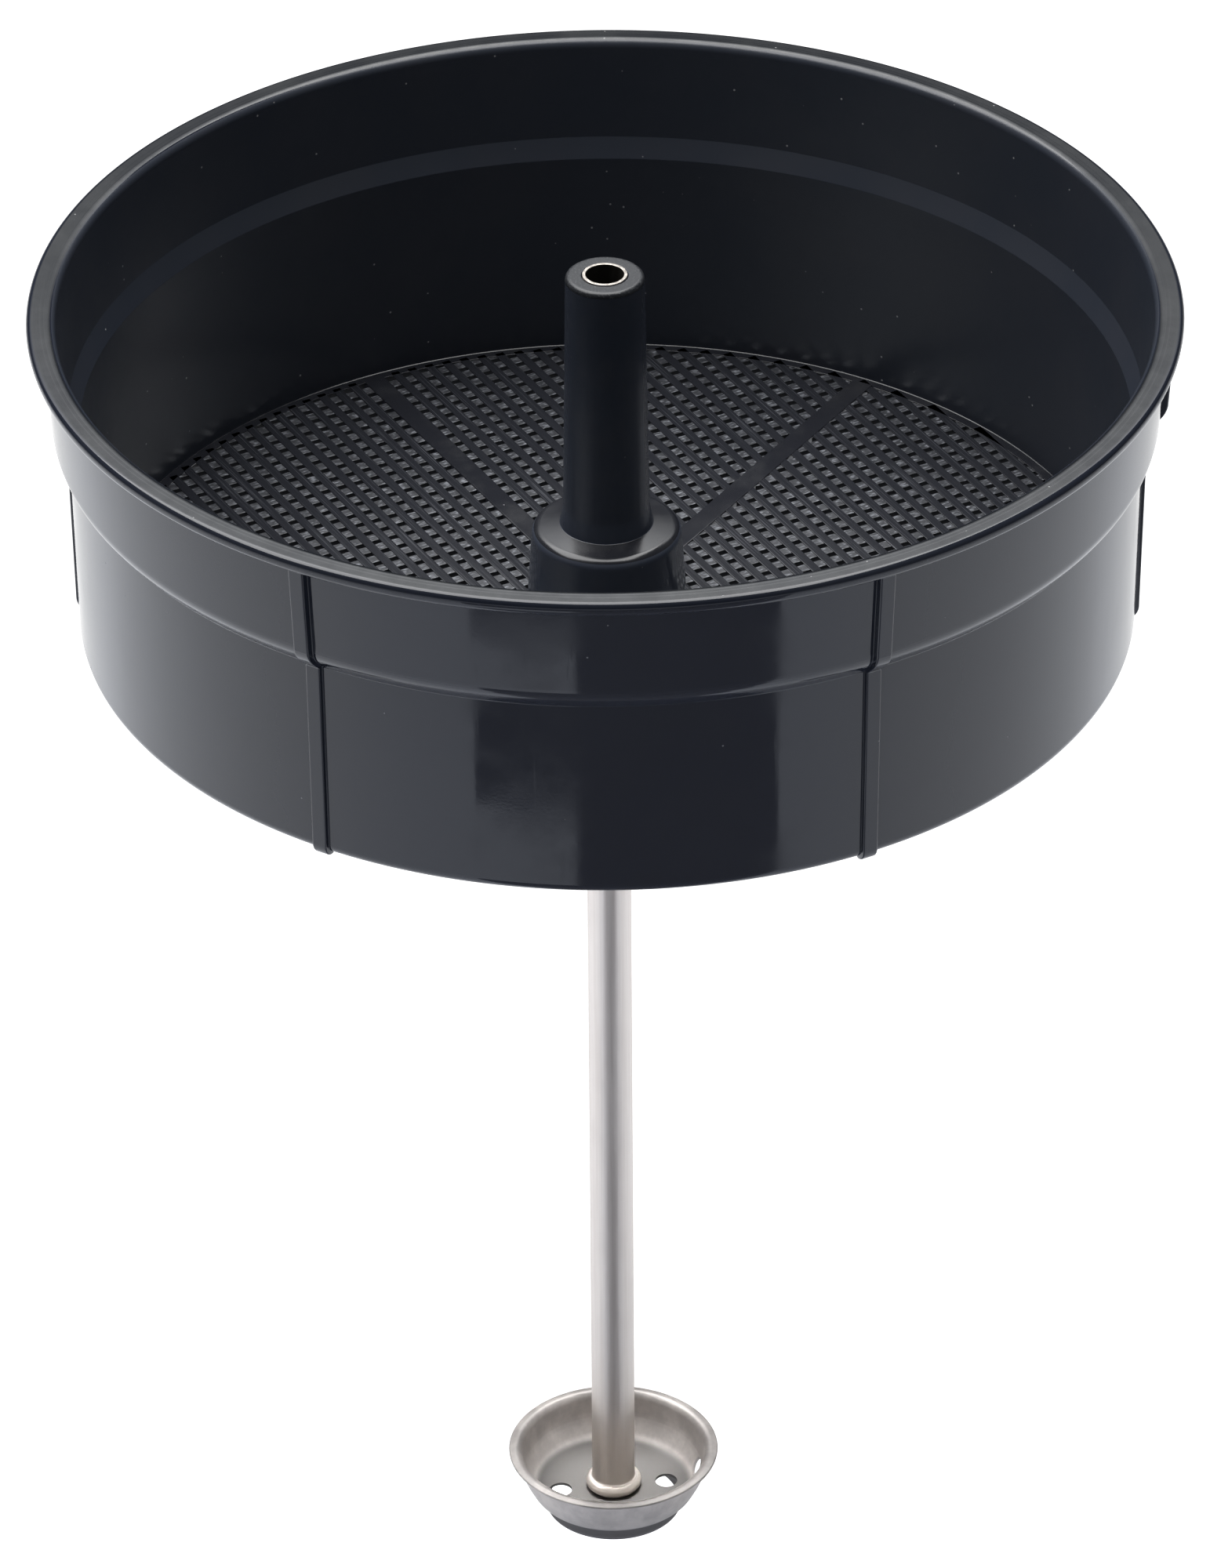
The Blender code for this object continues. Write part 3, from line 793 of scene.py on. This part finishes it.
def satin_plastic():
    """The boss and stem: the same plastic gone satin, with faint stains and dust, and painted light: its
    colour about three times as light as the outside's.
    """
    material, tree, shader, place = start("satin_plastic", 0.35)
    stains = noise_of(tree, place, 120.0, 5.0, 0.6)
    tinted = spread(tree, stains, 0.4, 0.75, 0.0, 1.0)
    # painted light: a lit copy of the plastic, about three times the outside's base colour
    body = tint(tree, tinted, (0.0430, 0.0510, 0.0700), (0.049, 0.055, 0.072))
    dust = specks(tree, place, 260.0, 0.06, 0.12)
    colour = tint(tree, dust, body, (0.14, 0.14, 0.15))
    rough = spread(tree, stains, 0.3, 0.75, 0.15, 0.26)
    grain = bump(tree, noise_of(tree, place, 700.0, 3.0), 0.000006, 0.5)
    connect(tree, shader, Base_Color=colour, Roughness=rough, Normal=grain)
    return material


def shaded_recess_plastic():
    """Sides of the sieve's bars: painted shade, near black and matt, with faint grain."""
    material, tree, shader, place = start("sieve_recess_plastic", 0.7)
    shader.inputs["Specular IOR Level"].default_value = 0.15
    grain = noise_of(tree, place, 900.0, 3.0)
    # painted shade: this near-black colour stands in for the shade in the sieve's gaps
    colour = tint(tree, grain, (0.0022, 0.0025, 0.0035), (0.0048, 0.0052, 0.0065))
    connect(tree, shader, Base_Color=colour, Normal=bump(tree, grain, 0.00001, 0.5))
    return material


def shaded_bore_steel():
    """The tube's bore: painted shade, near black with a faint brown mottle, and dull."""
    material, tree, shader, place = start("shaded_bore_steel", 0.6)
    film = noise_of(tree, place, 1.0, 3.0, 0.6, (500.0, 500.0, 40.0))
    # painted shade: the near-black colour stands in for the shade inside the bore
    colour = tint(tree, film, (0.004, 0.0035, 0.003), (0.016, 0.013, 0.010))
    connect(tree, shader, Base_Color=colour, Roughness=spread(tree, film, 0.3, 0.7, 0.5, 0.7))
    return material


def worn_plastic():
    """The stem's mouth: the gloss rubbed to a grainy satin."""
    material, tree, shader, place = start("worn_plastic", 0.4)
    grit = noise_of(tree, place, 2600.0, 3.0, 0.65)
    rubbed = spread(tree, grit, 0.5, 0.72, 0.0, 1.0)
    colour = tint(tree, rubbed, (0.013, 0.0145, 0.018), (0.075, 0.08, 0.085))
    rough = spread(tree, grit, 0.35, 0.7, 0.3, 0.5)
    connect(tree, shader, Base_Color=colour, Roughness=rough, Normal=bump(tree, grit, 0.00001, 0.8))
    return material


def bar_plastic():
    """Upper bars of the sieve: semi-gloss with drag lines along each bar."""
    material, tree, shader, place = start("sieve_bar_plastic", 0.3)
    lines = noise_of(tree, place, 1.0, 4.0, 0.6, (30.0, 2300.0, 600.0), -LATTICE_ANGLE)
    marks = noise_of(tree, place, 1.0, 3.0, 0.6, (2000.0, 60.0, 300.0), -LATTICE_ANGLE)
    patches = noise_of(tree, place, 55.0, 4.0)
    streak = combine(tree, 'MULTIPLY', spread(tree, lines, 0.53, 0.72, 0.0, 1.0),
                     spread(tree, patches, 0.4, 0.6, 0.3, 1.0))
    cross = combine(tree, 'MULTIPLY', spread(tree, marks, 0.66, 0.78, 0.0, 0.7),
                    spread(tree, patches, 0.45, 0.6, 0.0, 1.0))
    worn = combine(tree, 'MAXIMUM', streak, cross)
    colour = tint(tree, worn, (0.0180, 0.0192, 0.0238), (0.060, 0.064, 0.073))
    rough = spread(tree, lines, 0.3, 0.75, 0.14, 0.26)
    relief = bump(tree, marks, 0.000004, 0.4, bump(tree, lines, 0.000009, 0.8))
    connect(tree, shader, Base_Color=colour, Roughness=rough, Normal=relief)
    return material


def cross_plastic():
    """Lower bars of the sieve: matt and grainy, with pale worn grain, painted light that keeps it pale
    toward the front and darker behind where the back wall shades them, and glinting streaks that are
    painted highlights.
    """
    material, tree, shader, place = start("sieve_cross_plastic", 0.5)
    grain = noise_of(tree, place, 1900.0, 3.0, 0.7)
    patches = noise_of(tree, place, 30.0, 3.0)
    # painted highlight: this noise picks the glinting streaks that are painted pale below
    painted_glint = noise_of(tree, place, 1.0, 3.0, 0.6, (2400.0, 500.0, 500.0), -LATTICE_ANGLE)
    pale = combine(tree, 'MULTIPLY', spread(tree, grain, 0.35, 0.7, 0.1, 1.0),
                   spread(tree, patches, 0.3, 0.65, 0.5, 1.0))
    # painted light: pale toward the front, fading toward the back where the back wall shades the sieve
    lit_toward_front = spread(tree, axis_of(tree, place, "Y"), -0.09, 0.03, 1.0, 0.18)
    # The pale mask is worn grain times this painted light.
    worn = combine(tree, 'MULTIPLY', pale, lit_toward_front)
    body = tint(tree, worn, (0.0255, 0.0270, 0.0315), (0.115, 0.122, 0.137))
    colour = tint(tree, spread(tree, painted_glint, 0.50, 0.68, 0.0, 1.0), body, (0.21, 0.22, 0.245))
    rough = spread(tree, grain, 0.3, 0.7, 0.3, 0.45)
    connect(tree, shader, Base_Color=colour, Roughness=rough, Normal=bump(tree, grain, 0.000015, 0.8))
    return material


def flat_plastic(name, smooth, dull):
    """Level moulded faces: dark, with faint stains and dust, between the two roughnesses given."""
    material, tree, shader, place = start(name, 0.25)
    stains = noise_of(tree, place, 90.0, 5.0, 0.6)
    tinted = spread(tree, stains, 0.45, 0.75, 0.0, 1.0)
    body = tint(tree, tinted, (0.0160, 0.0170, 0.0215), (0.027, 0.028, 0.032))
    dust = specks(tree, place, 300.0, 0.07, 0.12)
    colour = tint(tree, dust, body, (0.2, 0.2, 0.21))
    rough = spread(tree, stains, 0.3, 0.75, smooth, dull)
    waves = bump(tree, noise_of(tree, place, 300.0, 3.0), 0.00002, 0.5)
    connect(tree, shader, Base_Color=colour, Roughness=rough, Normal=waves)
    return material


def tube_steel():
    """Drawn stainless tube: fine lengthwise lines, smudges, and a warm heat tint near the foot."""
    material, tree, shader, place = start("drawn_steel", 0.28, 0.78)
    lines = noise_of(tree, place, 1.0, 3.0, 0.6, (1500.0, 1500.0, 18.0))
    smudge = noise_of(tree, place, 1.0, 4.0, 0.6, (90.0, 90.0, 45.0))
    near_foot = spread(tree, axis_of(tree, place, "Z"), 0.014, 0.05, 1.0, 0.0)
    warm = combine(tree, 'MULTIPLY', near_foot, spread(tree, smudge, 0.3, 0.6, 0.4, 1.0))
    drawn = spread(tree, lines, 0.3, 0.7, 0.0, 1.0)
    clean = tint(tree, drawn, (0.66, 0.61, 0.575), (0.74, 0.695, 0.66))
    colour = tint(tree, warm, clean, (0.68, 0.62, 0.56))
    rough = combine(tree, 'ADD', spread(tree, lines, 0.3, 0.7, 0.36, 0.42),
                    spread(tree, smudge, 0.45, 0.75, 0.0, 0.08))
    relief = bump(tree, smudge, 0.00004, 0.25, bump(tree, lines, 0.000002, 0.35))
    connect(tree, shader, Base_Color=colour, Roughness=rough, Normal=relief)
    return material


def cut_steel():
    """The tube's sawn end: bright and scratched."""
    material, tree, shader, place = start("cut_steel", 0.4, 1.0)
    grit = noise_of(tree, place, 2200.0, 3.0, 0.6)
    colour = tint(tree, grit, (0.30, 0.27, 0.24), (0.66, 0.62, 0.57))
    rough = spread(tree, grit, 0.3, 0.7, 0.3, 0.5)
    connect(tree, shader, Base_Color=colour, Roughness=rough, Normal=bump(tree, grit, 0.00003, 0.7))
    return material


def cup_steel():
    """Pressed stainless: satin, clouded, with small dark pits and painted shade on its floor."""
    material, tree, shader, place = start("pressed_steel", 0.32, 0.38)
    cloud = noise_of(tree, place, 130.0, 5.0, 0.62)
    clouded = spread(tree, cloud, 0.35, 0.65, 0.0, 1.0)
    clean = tint(tree, clouded, (0.52, 0.485, 0.465), (0.68, 0.635, 0.605))
    # painted shade: everything up to the floor's top is darkened, fading out 1.2 mm above it
    tinted = spread(tree, axis_of(tree, place, "Z"), CUP_FLOOR + 0.1 * MM, CUP_FLOOR + 1.3 * MM, 1.0, 0.0)
    body = tint(tree, tinted, clean, (0.105, 0.099, 0.095))
    colour = tint(tree, specks(tree, place, 420.0, 0.07, 0.08), body, (0.12, 0.10, 0.09))
    rough = spread(tree, cloud, 0.3, 0.75, 0.34, 0.46)
    pressed = bump(tree, cloud, 0.00004, 0.4)
    grain = bump(tree, noise_of(tree, place, 900.0, 3.0, 0.6), 0.000003, 0.5, pressed)
    connect(tree, shader, Base_Color=colour, Roughness=rough, Normal=grain)
    return material


def seal_rubber():
    """Dark grey rubber, dusty and rubbed paler at its lower edge."""
    material, tree, shader, place = start("seal_rubber", 0.6)
    grain = noise_of(tree, place, 700.0, 4.0, 0.6)
    foot = spread(tree, axis_of(tree, place, "Z"), 0.0, 1.6 * MM, 1.0, 0.0)
    rubbed = combine(tree, 'MULTIPLY', foot, spread(tree, grain, 0.3, 0.65, 0.4, 1.0))
    colour = tint(tree, rubbed, (0.22, 0.21, 0.21), (0.34, 0.325, 0.325))
    rough = spread(tree, grain, 0.3, 0.7, 0.5, 0.72)
    connect(tree, shader, Base_Color=colour, Roughness=rough, Normal=bump(tree, grain, 0.00008, 0.5))
    return material


# ---------------------------------------------------------------- stage, lights and camera

def stage_material(name, colour, emission):
    """A dull material without shine that also gives off light of its own colour."""
    material = bpy.data.materials.new(name)
    material.use_nodes = True
    shader = material.node_tree.nodes["Principled BSDF"]
    shader.inputs["Base Color"].default_value = (*colour, 1.0)
    shader.inputs["Roughness"].default_value = 0.9
    shader.inputs["Specular IOR Level"].default_value = 0.0
    shader.inputs["Emission Color"].default_value = (*colour, 1.0)
    shader.inputs["Emission Strength"].default_value = emission
    return material


def hide_from(piece, *rays):
    """Keeps the piece unseen by those kinds of ray."""
    for ray in rays:
        setattr(piece, "visible_" + ray, False)


def stage_disc(name, material):
    """A large round floor at the height on which the object stands."""
    work = bmesh.new()
    bmesh.ops.create_circle(work, cap_ends=True, segments=96, radius=FLOOR_RADIUS)
    return finish_mesh(name, work, (material,))


def matt_floor():
    """The floor that light and reflections meet: cool in front, paler at the sides, grey behind. It also
    glows with that colour, painted light that stands in for light falling on it.
    """
    # painted light: the floor glows at 0.45 of its colour, filling the shade cast on it
    material = stage_material("floor_matt", WHITE, 0.45)
    tree = material.node_tree
    place = node(tree, 'ShaderNodeTexCoord', {}, {}).outputs["Object"]
    heading = node(tree, 'ShaderNodeVectorMath', {"operation": 'NORMALIZE'}, {0: place})
    along = axis_of(tree, heading.outputs["Vector"], "Y")
    behind = spread(tree, along, 0.5, 0.97, 0.0, 1.0)
    beside = spread(tree, along, -0.9, -0.4, 0.0, 1.0)
    sides = tint(tree, beside, (0.71, 0.745, 0.825), (0.79, 0.81, 0.85))
    colour = tint(tree, behind, sides, (0.60, 0.60, 0.60))
    connect(tree, tree.nodes["Principled BSDF"], Base_Color=colour, Emission_Color=colour)
    return material


def fan(work, inner, outer, left, right):
    """A flat part of a ring in front, between two headings in degrees from straight ahead."""
    corners = []
    for reach, first, last in ((inner, left, right), (outer, right, left)):
        for k in range(17):
            angle = math.radians(first + (last - first) * k / 16 - 90.0)
            spot = (reach * math.cos(angle), reach * math.sin(angle), FLAG_HEIGHT)
            corners.append(work.verts.new(spot))
    work.faces.new(corners)


def make_floor():
    """A plain white floor, shadowless to the camera, a matt one for every other ray, and a dark
    fan-shaped flag on it in front, met only by reflections."""
    seen = stage_disc("floor", stage_material("floor_white", WHITE, 1.05))
    hide_from(seen, "diffuse", "glossy", "shadow", "transmission")
    lit = stage_disc("floor_matt", matt_floor())
    hide_from(lit, "camera")
    work = bmesh.new()
    near, notch_near, notch_far, far = FLAG_REACHES
    fan(work, near, notch_near, FLAG_LEFT, FLAG_RIGHT)
    fan(work, notch_near, notch_far, FLAG_NOTCH_LEFT, FLAG_RIGHT)
    fan(work, notch_far, far, FLAG_LEFT, FLAG_RIGHT)
    flag = finish_mesh("front_flag", work, (stage_material("flag_black", (0.1, 0.1, 0.11), 1.0),))
    hide_from(flag, "camera", "diffuse", "shadow", "transmission")


def make_back_card():
    """A soft card behind the object, brighter toward its top, met by reflections in level surfaces."""
    material = stage_material("card_white", (0.0, 0.0, 0.0), 1.0)
    tree = material.node_tree
    place = node(tree, 'ShaderNodeTexCoord', {}, {}).outputs["Object"]
    ramp = node(tree, 'ShaderNodeMapRange', {},
                {"Value": axis_of(tree, place, "Z"), "From Min": 0.71, "From Max": 1.24,
                 "To Min": 0.0, "To Max": 2.6})
    shader = tree.nodes["Principled BSDF"]
    shader.inputs["Emission Color"].default_value = (0.98, 1.0, 1.03, 1.0)
    tree.links.new(ramp.outputs["Result"], shader.inputs["Emission Strength"])
    work = bmesh.new()
    sides = ((CARD_LEFT, CARD_LOW), (CARD_RIGHT, CARD_LOW), (CARD_RIGHT, CARD_HIGH), (CARD_LEFT, CARD_HIGH))
    work.faces.new([work.verts.new((x, CARD_BACK, z)) for x, z in sides])
    card = finish_mesh("back_card", work, (material,))
    hide_from(card, "camera", "shadow")


def area_light(name, location, target, width, depth, power):
    """A rectangular lamp of so many watts that faces the target and isn't seen itself."""
    data = bpy.data.lights.new(name, 'AREA')
    data.shape = 'RECTANGLE'
    data.size = width
    data.size_y = depth
    data.energy = power
    lamp = bpy.data.objects.new(name, data)
    lamp.location = location
    lamp.rotation_mode = 'QUATERNION'
    lamp.rotation_quaternion = (Vector(target) - Vector(location)).to_track_quat('-Z', 'Y')
    hide_from(lamp, "camera")
    bpy.context.scene.collection.objects.link(lamp)
    return lamp


def make_lights():
    """A large softbox above and a narrow beam down into the foot cup."""
    area_light("softbox", location=(-0.3, 0.45, 1.5), target=(-0.3, 0.45, 0.0),
               width=1.6, depth=1.4, power=42.0)
    fill = area_light("foot_fill", location=(0.0, 0.0, 0.2), target=(0.0, 0.0, 0.0),
                      width=0.028, depth=0.028, power=0.014)
    fill.data.spread = math.radians(7.0)
    hide_from(fill, "glossy")


def make_world():
    """Even white to the camera. To light and reflections it is dim, brighter to either side in
    front and high up in front."""
    world = bpy.data.worlds.new("studio")
    bpy.context.scene.world = world
    world.use_nodes = True
    tree = world.node_tree
    direction = node(tree, 'ShaderNodeTexCoord', {}, {}).outputs["Generated"]
    heading = node(tree, 'ShaderNodeVectorMath', {"operation": 'NORMALIZE'}, {0: level_of(tree, direction)})
    aside = combine(tree, 'ABSOLUTE', axis_of(tree, heading.outputs["Vector"], "X"), 0.0)
    ahead = axis_of(tree, heading.outputs["Vector"], "Y")
    sides = combine(tree, 'MULTIPLY', spread(tree, aside, 0.36, 0.66, 0.0, 1.08),
                    spread(tree, ahead, -0.1, 0.6, 1.0, 0.0))
    depth = spread(tree, ahead, -0.5, 0.5, 0.2, 0.28)
    above = spread(tree, axis_of(tree, direction, "Z"), 0.55, 0.85, 0.0, 1.0)
    over = combine(tree, 'MULTIPLY', above, spread(tree, ahead, -0.3, 0.3, 0.9, 0.0))
    level = combine(tree, 'ADD', combine(tree, 'ADD', depth, sides), over)
    seen = node(tree, 'ShaderNodeLightPath', {}, {}).outputs["Is Camera Ray"]
    shown = node(tree, 'ShaderNodeMix', {}, {0: seen, 2: level, 3: 1.05}).outputs[0]
    tree.links.new(shown, tree.nodes["Background"].inputs["Strength"])


def make_camera():
    """A long lens in front of the object and above it, looking down at it."""
    data = bpy.data.cameras.new("camera")
    data.lens = CAMERA_LENS
    data.sensor_width = CAMERA_SENSOR
    data.sensor_fit = 'AUTO'
    data.clip_start = 0.1
    data.clip_end = 60.0
    camera = bpy.data.objects.new("camera", data)
    bpy.context.scene.collection.objects.link(camera)
    spot = Matrix.Translation((0.0, -CAMERA_BACK, RIM_HEIGHT + CAMERA_RISE))
    yaw = Matrix.Rotation(CAMERA_YAW, 4, 'Z')
    pitch = Matrix.Rotation(CAMERA_PITCH, 4, 'X')
    roll = Matrix.Rotation(CAMERA_ROLL, 4, 'Z')
    camera.matrix_world = spot @ yaw @ pitch @ roll
    bpy.context.scene.camera = camera


def main():
    """Makes the stage and every piece."""
    bpy.context.scene.view_settings.view_transform = 'Standard'
    make_camera()
    make_floor()
    make_world()
    make_back_card()
    make_lights()
    make_wall(gloss_plastic(), rim_plastic(), inner_plastic())
    spoke_finish = flat_plastic("sieve_flat_plastic", 0.12, 0.26)
    make_sieve(bar_plastic(), cross_plastic(), spoke_finish, shaded_recess_plastic())
    make_hub(satin_plastic(), worn_plastic(), flat_plastic("boss_top_plastic", 0.18, 0.26))
    make_tube(tube_steel(), cut_steel(), shaded_bore_steel())
    make_cup(cup_steel())
    make_seal(seal_rubber())


main()
